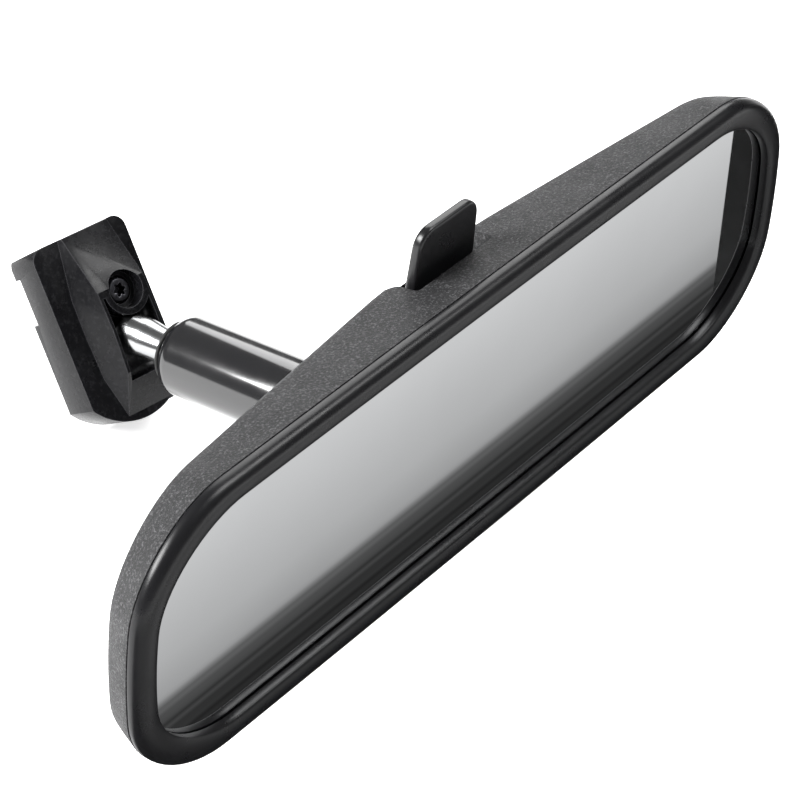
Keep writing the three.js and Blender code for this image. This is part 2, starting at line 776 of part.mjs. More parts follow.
function armGroup() {
  const arm = new THREE.Group();
  arm.position.set(...ballB());
  arm.rotation.x = -THREE.MathUtils.degToRad(ARM_DROOP);
  const flipped = (mesh) => {
    mesh.rotation.x = Math.PI;
    mesh.position.y = BALL_SPACING;
  };
  const ringAt = LIP_REACH + GAP;
  const caseRing = (mesh) => {
    mesh.rotation.x = Math.PI;
    mesh.position.y = -ringAt;
  };
  arm.add(
    named("arm_tube", armTube(), PAINT),
    named("arm_spring", armSpring(), STEEL),
    named("case_side_seal_ring", sealRing(), RUBBER, caseRing),
    named("foot_side_seal_ring", sealRing(), RUBBER, at(0, BALL_SPACING + ringAt, 0)),
    named("case_side_ball_liner", ballLiner(), NYLON),
    named("foot_side_ball_liner", ballLiner(), NYLON, at(0, BALL_SPACING, 0)),
    named("case_side_seat_cup", seatCup(), NYLON),
    named("foot_side_seat_cup", seatCup(), NYLON, flipped),
    named("foot_ball_stud", footBallStud(), CHROME, at(0, BALL_SPACING, 0)),
  );
  return arm;
}

function footGroup() {
  const foot = new THREE.Group();
  foot.quaternion.setFromRotationMatrix(footPlacement());
  foot.add(
    named("mounting_foot", mountingFoot(), PAINT),
    named("set_screw", setScrew(), BLACK_STEEL, at(SCREW_X, 0, SCREW_Z)),
  );
  return foot;
}

const mirror = new THREE.Group();
mirror.add(headGroup(), armGroup(), footGroup());

export default mirror;
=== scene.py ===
"""Interior rearview mirror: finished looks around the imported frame.

Lengths in the classes are millimetres in a sub-assembly's own axes;
Shop turns them into metres in the frame's axes.
"""

import json
import logging
import math
from collections.abc import Callable, Sequence
from dataclasses import dataclass, field
from enum import Enum

import bmesh
import bpy
from mathutils import Matrix, Vector

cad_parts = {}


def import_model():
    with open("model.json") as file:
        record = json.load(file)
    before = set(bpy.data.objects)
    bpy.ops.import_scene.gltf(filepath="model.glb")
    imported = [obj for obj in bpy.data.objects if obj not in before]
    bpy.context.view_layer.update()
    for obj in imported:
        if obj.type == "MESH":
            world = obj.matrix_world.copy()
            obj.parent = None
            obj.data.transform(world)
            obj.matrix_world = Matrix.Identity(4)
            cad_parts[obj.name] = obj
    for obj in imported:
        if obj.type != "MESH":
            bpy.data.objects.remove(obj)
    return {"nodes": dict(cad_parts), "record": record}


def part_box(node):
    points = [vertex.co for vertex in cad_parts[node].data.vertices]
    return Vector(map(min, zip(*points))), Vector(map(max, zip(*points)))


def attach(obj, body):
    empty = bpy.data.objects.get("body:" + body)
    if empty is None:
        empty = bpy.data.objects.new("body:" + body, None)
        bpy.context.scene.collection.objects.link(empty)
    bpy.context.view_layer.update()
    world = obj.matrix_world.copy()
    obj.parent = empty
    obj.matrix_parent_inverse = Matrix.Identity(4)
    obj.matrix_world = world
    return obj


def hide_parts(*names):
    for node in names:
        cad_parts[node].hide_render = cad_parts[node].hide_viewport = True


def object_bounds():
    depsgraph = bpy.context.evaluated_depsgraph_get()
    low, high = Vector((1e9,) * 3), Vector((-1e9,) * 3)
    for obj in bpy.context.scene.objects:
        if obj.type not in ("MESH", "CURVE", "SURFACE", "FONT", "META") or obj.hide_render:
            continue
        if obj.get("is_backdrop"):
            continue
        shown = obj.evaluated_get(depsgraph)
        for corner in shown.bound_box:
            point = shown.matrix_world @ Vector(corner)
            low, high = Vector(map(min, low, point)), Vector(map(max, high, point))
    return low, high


MM = 0.001
WELD = 1e-6  # metres: closer corners are one corner
LOG = logging.getLogger("mirror")

Point = tuple[float, float, float]
Pair = tuple[float, float]


# ---- Working by hand: one mesh at a time, in edit mode ----


class Kind(Enum):
    """What a pick selects."""

    CORNER = "VERT"
    EDGE = "EDGE"
    FACE = "FACE"


class Cut(Enum):
    """How one solid works on another."""

    ADD = "UNION"
    REMOVE = "DIFFERENCE"


def to_metres(values: Sequence[float]) -> Point:
    """Millimetres to metres."""
    return tuple(value * MM for value in values)


class Bench:
    """One mesh on the bench, shaped with the operators that a modeller uses by hand."""

    def __init__(self, name: str) -> None:
        """Puts an empty mesh on the bench, at the origin, and opens it.

        Args:
            name: What the piece is called.
        """
        bpy.ops.object.select_all(action="DESELECT")
        self.part = bpy.data.objects.new(name, bpy.data.meshes.new(name))
        bpy.context.scene.collection.objects.link(self.part)
        self.open()

    def open(self) -> None:
        """Takes the piece into edit mode."""
        bpy.ops.object.select_all(action="DESELECT")
        self.part.select_set(True)
        bpy.context.view_layer.objects.active = self.part
        bpy.ops.object.mode_set(mode="EDIT")
        bpy.context.tool_settings.mesh_select_mode = (True, False, False)

    def close(self) -> None:
        """Takes the piece back to object mode."""
        bpy.ops.object.mode_set(mode="OBJECT")

    def block(self, low: Point, high: Point) -> None:
        """Adds a box between two corners."""
        bpy.ops.mesh.select_all(action="DESELECT")
        centre = [(a + b) / 2 for a, b in zip(low, high)]
        bpy.ops.mesh.primitive_cube_add(size=1, location=to_metres(centre))
        self.resize([(b - a) * MM for a, b in zip(low, high)], centre)

    def rod(self, start: Point, end: Point, radius: float, sides: int = 48) -> None:
        """Adds a round bar, or a cone if its ends differ.

        Args:
            start: Centre of one end.
            end: Centre of the other end.
            radius: Radius at the start.
            sides: Sides of the round.
        """
        bpy.ops.mesh.select_all(action="DESELECT")
        along = Vector(end) - Vector(start)
        bpy.ops.mesh.primitive_cone_add(
            vertices=sides,
            radius1=radius * MM,
            radius2=radius * MM,
            depth=along.length * MM,
            location=to_metres((Vector(start) + Vector(end)) / 2),
            rotation=along.to_track_quat("Z", "Y").to_euler(),
        )

    def pick(self, kind: Kind, wanted: Callable[[Vector, Vector], bool]) -> int:
        """Selects corners, edges or faces by their place.

        Args:
            kind: Corners, edges or faces.
            wanted: Takes the place in millimetres and the normal, or an edge's direction; says if it is wanted.

        Returns:
            How many were selected.
        """
        bpy.context.tool_settings.mesh_select_mode = [kind is each for each in Kind]
        bm = bmesh.from_edit_mesh(self.part.data)
        bm.normal_update()
        bpy.ops.mesh.select_all(action="DESELECT")
        if kind is Kind.CORNER:
            chosen = [v for v in bm.verts if wanted(v.co / MM, v.normal)]
        elif kind is Kind.EDGE:
            ends = [(e, e.verts[0].co / MM, e.verts[1].co / MM) for e in bm.edges]
            chosen = [e for e, a, b in ends if wanted((a + b) / 2, (b - a).normalized())]
        else:
            chosen = [f for f in bm.faces if wanted(f.calc_center_median() / MM, f.normal)]
        for item in chosen:
            item.select_set(True)
        bm.select_flush_mode()
        bmesh.update_edit_mesh(self.part.data)
        return len(chosen)

    def pick_all(self) -> None:
        """Selects everything."""
        bpy.ops.mesh.select_all(action="SELECT")

    def move(self, by: Point) -> None:
        """Moves the selection by millimetres."""
        bpy.ops.transform.translate(value=to_metres(by))

    def resize(self, factors: Sequence[float], centre: Sequence[float] = (0, 0, 0)) -> None:
        """Scales the selection about a centre in millimetres."""
        bpy.ops.transform.resize(value=tuple(factors), center_override=to_metres(centre))

    def extrude(self, by: Point) -> None:
        """Extrudes the selection by millimetres."""
        bpy.ops.mesh.extrude_region_move(TRANSFORM_OT_translate={"value": to_metres(by)})

    def inset(self, thickness: float, depth: float = 0.0) -> None:
        """Insets the selected faces."""
        bpy.ops.mesh.inset(thickness=thickness * MM, depth=depth * MM)

    def bevel(self, width: float, segments: int, corners: bool = False) -> None:
        """Rounds the selected edges, or the selected corners of an outline."""
        bpy.ops.mesh.bevel(
            offset=width * MM, segments=segments, profile=0.5, affect="VERTICES" if corners else "EDGES"
        )

    def wire(self, points: Sequence[Point], rounds: dict[int, float] | None = None, steps: int = 8) -> None:
        """Draws a closed outline, corner by corner, and rounds the corners that ask for it.

        Args:
            points: The corners, in order.
            rounds: Radius by the corner's number.
            steps: Segments of a rounded corner.
        """
        bpy.ops.mesh.primitive_plane_add(size=MM)
        bpy.ops.mesh.merge(type="CENTER")
        self.move(points[0])
        closed = [*points, points[0]]
        for a, b in zip(closed, closed[1:]):
            self.extrude(tuple(Vector(b) - Vector(a)))
        self.pick_all()
        bpy.ops.mesh.remove_doubles(threshold=WELD)
        for number, radius in (rounds or {}).items():
            corner = Vector(points[number])
            self.pick(Kind.CORNER, lambda at, _: (at - corner).length < 0.01)
            self.bevel(radius, steps, corners=True)

    def spin(self, profile: Sequence[Pair], rounds: dict[int, float] | None = None, steps: int = 96) -> None:
        """Turns a closed profile of (radius, y) about the Y axis.

        Args:
            profile: The profile's corners.
            rounds: Radius by the corner's number.
            steps: Steps round the axis.
        """
        self.wire([(radius, y, 0.0) for radius, y in profile], rounds)
        self.pick_all()
        bpy.ops.mesh.spin(steps=steps, angle=2 * math.pi, center=(0, 0, 0), axis=(0, 1, 0))
        self.pick_all()
        bpy.ops.mesh.remove_doubles(threshold=WELD)
        bpy.ops.mesh.dissolve_degenerate(threshold=WELD)

    def tidy(self) -> None:
        """Welds doubles and turns the faces outwards."""
        self.pick_all()
        bpy.ops.mesh.remove_doubles(threshold=WELD)
        bpy.ops.mesh.normals_make_consistent(inside=False)


class Shop:
    """Finishes pieces: modifiers, joins and cuts, placing, riding and dressing."""

    def __init__(self, finishes: dict[str, bpy.types.Material]) -> None:
        """Args:
        finishes: Material by the record's slot.
        """
        self.finishes = finishes

    @staticmethod
    def choose(part: bpy.types.Object) -> None:
        """Makes one object the only one selected, and active."""
        bpy.ops.object.select_all(action="DESELECT")
        part.select_set(True)
        bpy.context.view_layer.objects.active = part

    def modify(self, part: bpy.types.Object, kind: str, **settings: object) -> None:
        """Adds a modifier and applies it.

        Args:
            part: The piece.
            kind: The modifier's type.
            settings: Its settings.
        """
        modifier = part.modifiers.new(kind.title(), kind)
        for key, value in settings.items():
            setattr(modifier, key, value)
        self.choose(part)
        bpy.ops.object.modifier_apply(modifier=modifier.name)

    def combine(self, part: bpy.types.Object, cut: Cut, *tools: bpy.types.Object) -> None:
        """Joins tools to a piece or cuts them out of it, and throws the tools away."""
        for tool in tools:
            self.modify(part, "BOOLEAN", object=tool, operation=cut.value, solver="EXACT")
            bpy.data.objects.remove(tool)

    def soften(self, part: bpy.types.Object, width: float, segments: int = 3, above: float = 28.0) -> None:
        """Rounds every edge that is sharper than so many degrees."""
        self.modify(
            part,
            "BEVEL",
            width=width * MM,
            segments=segments,
            limit_method="ANGLE",
            angle_limit=math.radians(above),
            use_clamp_overlap=True,
            miter_outer="MITER_ARC",
        )

    def hand_over(
        self, part: bpy.types.Object, place: Matrix, body: str, slot: str, stands_for: Sequence[str], smooth: float = 32.0
    ) -> None:
        """Places a finished piece, dresses it and puts it on its body.

        Args:
            part: The piece, in its sub-assembly's axes.
            place: Those axes in the frame.
            body: The body that it rides on.
            slot: The material slot that it takes.
            stands_for: The CAD nodes that it replaces.
            smooth: Edges sharper than this many degrees stay sharp in the shading.
        """
        part.matrix_world = place
        self.choose(part)
        bpy.ops.object.transform_apply(location=True, rotation=True, scale=True)
        bpy.ops.object.shade_smooth_by_angle(angle=math.radians(smooth))
        part.data.materials.clear()
        part.data.materials.append(self.finishes[slot])
        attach(part, body)
        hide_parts(*stands_for)
        LOG.info("%s: %d faces, rides on %s", part.name, len(part.data.polygons), body)


# ---- Finishes ----


class Grain(Enum):
    """The relief of a surface."""

    NONE = "none"
    ERODED = "eroded"  # the fine even grain of a spark-eroded mould
    PEEL = "peel"  # the slow ripple of paint or a polished mould
    BRUSHED = "brushed"  # lines from drawing or turning
    FIBRE = "fibre"  # open, fuzzy


@dataclass(frozen=True)
class Finish:
    """One surface finish, in the maker's terms; scales are features per metre and depths are millimetres."""

    name: str
    colour: tuple[float, float, float]
    roughness: float
    metallic: float = 0.0
    specular: float = 0.5
    coat: float = 0.0
    mottle: float = 0.12
    mottle_scale: float = 70.0
    smear: float = 0.05
    smear_scale: float = 110.0
    grain: Grain = Grain.PEEL
    grain_scale: float = 900.0
    grain_depth: float = 0.006
    fleck: float = 0.0
    fleck_scale: float = 2400.0
    edge_wear_and_highlight: float = 0.0  # how much lighter and duller the edges are: partly wear, partly a painted highlight along the edges
    glow: float = 0.0  # light of its own

    def material(self) -> bpy.types.Material:
        """Builds the material.

        Returns:
            A material that reads Object coordinates only.
        """
        made = bpy.data.materials.new(self.name)
        made.use_nodes = True
        made.diffuse_color = (*self.colour, 1.0)
        nodes, links = made.node_tree.nodes, made.node_tree.links
        shader = nodes["Principled BSDF"]
        shader.inputs["Metallic"].default_value = self.metallic
        shader.inputs["Specular IOR Level"].default_value = self.specular
        shader.inputs["Coat Weight"].default_value = self.coat
        shader.inputs["Coat Roughness"].default_value = 0.06
        shader.inputs["Emission Color"].default_value = (1, 1, 1, 1)
        shader.inputs["Emission Strength"].default_value = self.glow
        place = nodes.new("ShaderNodeTexCoord").outputs["Object"]

        def noise(scale: float, detail: float = 3.0, rough: float = 0.55) -> bpy.types.NodeSocket:
            """A noise pattern's value, 0 to 1."""
            node = nodes.new("ShaderNodeTexNoise")
            node.inputs["Scale"].default_value = scale
            node.inputs["Detail"].default_value = detail
            node.inputs["Roughness"].default_value = rough
            links.new(place, node.inputs["Vector"])
            return node.outputs["Fac"]

        def spread(
            value: bpy.types.NodeSocket, low: float, high: float, source: Pair = (0.3, 0.7)
        ) -> bpy.types.NodeSocket:
            """Spreads a value over a range."""
            node = nodes.new("ShaderNodeMapRange")
            for name, number in zip(("From Min", "From Max", "To Min", "To Max"), (*source, low, high)):
                node.inputs[name].default_value = number
            links.new(value, node.inputs["Value"])
            return node.outputs["Result"]

        def blend(factor: bpy.types.NodeSocket, a: object, b: object) -> bpy.types.NodeSocket:
            """Mixes two colours, each a colour or a socket."""
            node = nodes.new("ShaderNodeMix")
            node.data_type = "RGBA"
            links.new(factor, node.inputs["Factor"])
            for socket, value in ((node.inputs[6], a), (node.inputs[7], b)):
                if isinstance(value, bpy.types.NodeSocket):
                    links.new(value, socket)
                else:
                    socket.default_value = (*value, 1.0)
            return node.outputs[2]

        dark = tuple(c * (1 - self.mottle) for c in self.colour)
        light = tuple(min(1.0, c * (1 + self.mottle)) for c in self.colour)
        colour = blend(spread(noise(self.mottle_scale), 0, 1), dark, light)
        if self.fleck:
            flecks = spread(noise(self.fleck_scale, 2.0, 0.7), 0, self.fleck, (0.52, 0.68))
            colour = blend(flecks, colour, tuple(min(1.0, c * 4 + 0.05) for c in self.colour))
        rough = spread(noise(self.smear_scale, 5.0), self.roughness - self.smear, self.roughness + self.smear)
        # Edges painted lighter: partly wear, partly a painted highlight.
        if self.edge_wear_and_highlight:
            colour, rough = self.wear_and_highlight_edges(made, colour, rough, blend)
        links.new(colour, shader.inputs["Base Color"])
        links.new(rough, shader.inputs["Roughness"])
        if self.grain is not Grain.NONE:
            self.relief(made, place, noise, shader)
        return made

    def wear_and_highlight_edges(
        self, made: bpy.types.Material, colour: bpy.types.NodeSocket, rough: bpy.types.NodeSocket, blend: Callable
    ) -> tuple[bpy.types.NodeSocket, bpy.types.NodeSocket]:
        """Paints the edges lighter and duller: partly wear, partly a painted highlight along the edges.

        Args:
            made: The material.
            colour: Its colour so far.
            rough: Its roughness so far.
            blend: Mixes two colours.

        Returns:
            The new colour and roughness.
        """
        nodes, links = made.node_tree.nodes, made.node_tree.links
        geometry = nodes.new("ShaderNodeNewGeometry")
        bevel = nodes.new("ShaderNodeBevel")
        bevel.samples = 4
        bevel.inputs["Radius"].default_value = 0.5 * MM
        dot = nodes.new("ShaderNodeVectorMath")
        dot.operation = "DOT_PRODUCT"
        links.new(geometry.outputs["Normal"], dot.inputs[0])
        links.new(bevel.outputs["Normal"], dot.inputs[1])
        edge = nodes.new("ShaderNodeMapRange")
        edge.inputs["From Min"].default_value = 0.97
        edge.inputs["From Max"].default_value = 0.86
        edge.inputs["To Max"].default_value = self.edge_wear_and_highlight
        links.new(dot.outputs["Value"], edge.inputs["Value"])
        # Colour of the edges: partly worn paint, partly a painted highlight.
        worn_and_highlit = tuple(min(1.0, c * 5 + 0.03) for c in self.colour)
        added = nodes.new("ShaderNodeMath")
        added.operation = "MULTIPLY_ADD"
        added.inputs[1].default_value = 0.12
        links.new(edge.outputs["Result"], added.inputs[0])
        links.new(rough, added.inputs[2])
        return blend(edge.outputs["Result"], colour, worn_and_highlit), added.outputs[0]

    def relief(
        self, made: bpy.types.Material, place: bpy.types.NodeSocket, noise: Callable, shader: bpy.types.Node
    ) -> None:
        """Adds the grain as bump.

        Args:
            made: The material.
            place: Object coordinates.
            noise: Makes a noise pattern.
            shader: The shader that takes the normal.
        """
        nodes, links = made.node_tree.nodes, made.node_tree.links
        if self.grain is Grain.ERODED:
            height = noise(self.grain_scale, 4.0, 0.75)
        elif self.grain is Grain.FIBRE:
            height = noise(self.grain_scale, 8.0, 0.85)
        elif self.grain is Grain.BRUSHED:
            stretch = nodes.new("ShaderNodeMapping")
            stretch.inputs["Scale"].default_value = (0.06, 1.0, 1.0)
            links.new(place, stretch.inputs["Vector"])
            lines = nodes.new("ShaderNodeTexNoise")
            lines.inputs["Scale"].default_value = self.grain_scale
            lines.inputs["Detail"].default_value = 3.0
            links.new(stretch.outputs["Vector"], lines.inputs["Vector"])
            height = lines.outputs["Fac"]
        else:
            height = noise(self.grain_scale, 1.0, 0.4)
        bump = nodes.new("ShaderNodeBump")
        bump.inputs["Strength"].default_value = 1.0
        bump.inputs["Distance"].default_value = self.grain_depth * MM
        links.new(height, bump.inputs["Height"])
        links.new(bump.outputs["Normal"], shader.inputs["Normal"])


FINISHES: dict[str, Finish] = {
    "case_plastic": Finish(
        "case_plastic", (0.017, 0.017, 0.018), 0.56, specular=0.4, mottle=0.25, mottle_scale=240, smear=0.08,
        grain=Grain.ERODED, grain_scale=1100, grain_depth=0.35, fleck=0.8, fleck_scale=1700, edge_wear_and_highlight=0.3,
    ),
    "bezel_plastic": Finish(
        "bezel_plastic", (0.008, 0.008, 0.009), 0.3, specular=0.28, smear=0.05, grain_scale=420, grain_depth=0.006, edge_wear_and_highlight=0.1,
    ),
    "mirror": Finish(
        "mirror", (0.80, 0.81, 0.82), 0.02, metallic=1.0, mottle=0.02, mottle_scale=25, smear=0.012, smear_scale=45,
        grain=Grain.NONE,
    ),
    "film": Finish("film", (0.25, 0.27, 0.3), 0.4, grain_scale=300, grain_depth=0.01),
    "foam": Finish(
        "foam", (0.06, 0.06, 0.063), 0.92, mottle=0.3, mottle_scale=700, grain=Grain.FIBRE, grain_scale=1500,
        grain_depth=0.3,
    ),
    "frame_plastic": Finish(
        "frame_plastic", (0.035, 0.035, 0.037), 0.42, grain_scale=700, grain_depth=0.02, edge_wear_and_highlight=0.15,
    ),
    "tab_plastic": Finish(
        "tab_plastic", (0.009, 0.009, 0.01), 0.3, specular=0.4, smear=0.06, grain_scale=520, grain_depth=0.012, edge_wear_and_highlight=0.25,
    ),
    "steel": Finish(
        "steel", (0.5, 0.51, 0.52), 0.3, metallic=1.0, mottle=0.1, mottle_scale=300, grain=Grain.BRUSHED, grain_scale=2600,
        grain_depth=0.01,
    ),
    "spring_steel": Finish(
        "spring_steel", (0.36, 0.36, 0.37), 0.33, metallic=1.0, mottle=0.2, mottle_scale=400, grain=Grain.BRUSHED,
        grain_scale=2000, grain_depth=0.01,
    ),
    "chrome": Finish("chrome", (0.38, 0.385, 0.39), 0.2, metallic=1.0, mottle=0.03, smear=0.03, grain=Grain.NONE),
    "arm_paint": Finish(
        "arm_paint", (0.012, 0.012, 0.013), 0.17, specular=0.6, coat=0.6, smear=0.04, grain_scale=380, grain_depth=0.004,
    ),
    "foot_paint": Finish(
        "foot_paint", (0.006, 0.006, 0.007), 0.26, specular=0.16, coat=0.03, mottle=0.3, smear=0.07, smear_scale=160,
        grain_scale=650, grain_depth=0.012, fleck=0.12, fleck_scale=900, edge_wear_and_highlight=0.9,
    ),
    "black_steel": Finish(
        "black_steel", (0.09, 0.09, 0.1), 0.3, metallic=1.0, grain_scale=900, grain_depth=0.01, edge_wear_and_highlight=0.5,
    ),
    "seal_rubber": Finish(
        "seal_rubber", (0.016, 0.016, 0.016), 0.6, grain=Grain.ERODED, grain_scale=1800, grain_depth=0.03,
    ),
    "nylon": Finish("nylon", (0.7, 0.69, 0.64), 0.38, mottle=0.04, grain_scale=500, grain_depth=0.01),
}


# ---- Axes of the sub-assemblies, all taken from the frame ----


def head_axes() -> Matrix:
    """The mirror head's axes: its centre on the bezel, Y from the glass to the back."""
    low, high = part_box("bezel")
    return Matrix.Translation(((low.x + high.x) / 2, low.y + 0.6 * MM, (low.z + high.z) / 2))


def basis(origin: Vector, x: Vector, y: Vector) -> Matrix:
    """Axes at a point, from their X and Y directions."""
    made = Matrix((x, y, x.cross(y))).transposed().to_4x4()
    made.translation = origin
    return made


def joint_of(record: dict, name: str) -> dict:
    """The record's joint of that name."""
    return next(joint for joint in record["behaviour"]["joints"] if joint["name"] == name)


def arm_axes(record: dict, joint: str) -> Matrix:
    """Axes at a ball's centre, Y along the arm towards the foot."""
    twist = joint_of(record, joint)
    return basis(Vector(twist["pos_m"]), Vector((1, 0, 0)), Vector(twist["axis"]).normalized())


def foot_axes(record: dict) -> Matrix:
    """Axes at the foot's seat, Y out of the seat towards the windscreen."""
    y = Vector(record["mounts"][0]["axis"]).normalized()
    return basis(Vector((0, 0, 0)), y.cross(Vector((0, 0, 1))).normalized(), y)


# ---- Mirror head ----


@dataclass
class HeadOutline:
    """The rim's outline: a rectangle with large corners, whose sides bulge a little."""

    half_length: float = 120.0
    half_height: float = 36.75
    corner: float = 24.6
    end_bow: float = 4.8
    edge_bow: float = 0.6

    def draw(self, bench: Bench) -> None:
        """Draws the outline as a closed ring of edges in the plane Y = 0.

        Args:
            bench: An empty bench.
        """
        bpy.ops.mesh.primitive_plane_add(size=2 * MM, rotation=(math.pi / 2, 0, 0))
        bench.resize((self.half_length, 1, self.half_height))
        bench.bevel(self.corner, 16, corners=True)
        bpy.ops.mesh.delete(type="ONLY_FACE")
        bench.pick(Kind.EDGE, lambda at, way: abs(way.x) > 0.999 and abs(at.x) < 1)
        bpy.ops.mesh.subdivide(number_cuts=33)
        bench.pick(Kind.EDGE, lambda at, way: abs(way.z) > 0.999 and abs(at.z) < 1)
        bpy.ops.mesh.subdivide(number_cuts=7)
        verts = bmesh.from_edit_mesh(bench.part.data).verts
        corners = {(round(abs(v.co.x) / MM, 4), round(abs(v.co.z) / MM, 4)) for v in verts}
        for x, z in sorted(corners):
            wide = 1 + self.end_bow / self.half_length * (1 - (z / self.half_height) ** 2)
            tall = 1 + self.edge_bow / self.half_height * (1 - (x / self.half_length) ** 2)
            bench.pick(Kind.CORNER, lambda at, _: abs(abs(at.x) - x) < 0.001 and abs(abs(at.z) - z) < 0.001)
            bench.resize((wide, 1, tall))
        bpy.context.tool_settings.mesh_select_mode = (False, True, False)
        bench.pick_all()

    def rows(self, bench: Bench, profile: Sequence[Pair]) -> None:
        """Sweeps a profile round the outline, row by row.

        Args:
            bench: Holds the outline, all selected, at the profile's first point once it is moved there.
            profile: (inset, y) of each row.
        """
        size = [self.half_length, self.half_height]
        inset, y = profile[0]
        bench.resize((1 - inset / size[0], 1, 1 - inset / size[1]))
        bench.move((0, y, 0))
        for (a, y0), (b, y1) in zip(profile, profile[1:]):
            bench.extrude((0, y1 - y0, 0))
            bench.resize(((1 - b / size[0]) / (1 - a / size[0]), 1, (1 - b / size[1]) / (1 - a / size[1])))


@dataclass
class Bezel:
    """Rim that holds the glass: rounded front, thin lip over the glass, tail inside the case."""

    outline: HeadOutline
    width: float = 6.0
    crest: float = 2.9
    front: float = -0.6
    side: float = 2.3
    lip: float = 0.45
    back: float = 3.2
    lip_back: float = 2.2
    tail: tuple[float, float, float] = (1.9, 3.1, 5.0)

    def profile(self) -> list[Pair]:
        """The rim's section, as (inset, y), closed."""
        points = []
        steps = 9
        for i in range(steps + 1):
            turn = math.pi / 2 * i / steps
            points.append((self.crest * (1 - math.cos(turn)), self.side + (self.front - self.side) * math.sin(turn)))
        for i in range(1, steps + 1):
            turn = math.pi / 2 * i / steps
            points.append((
                self.crest + (self.width - self.crest) * math.sin(turn),
                self.front + (self.lip - self.front) * (1 - math.cos(turn)),
            ))
        inner, outer, end = self.tail[1], self.tail[0], self.tail[2]
        points += [
            (self.width, self.lip_back), (inner, self.lip_back), (inner, end), (outer, end), (outer, self.back),
            (0, self.back), points[0],
        ]
        return points

    def build(self, shop: Shop, axes: Matrix) -> None:
        """Models the bezel and hands it over."""
        bench = Bench("bezel_rim")
        self.outline.draw(bench)
        self.outline.rows(bench, self.profile())
        bench.tidy()
        bench.close()
        shop.soften(bench.part, 0.18, 2, 50)
        shop.hand_over(bench.part, axes, "case", "bezel_plastic", ["bezel"], 40)


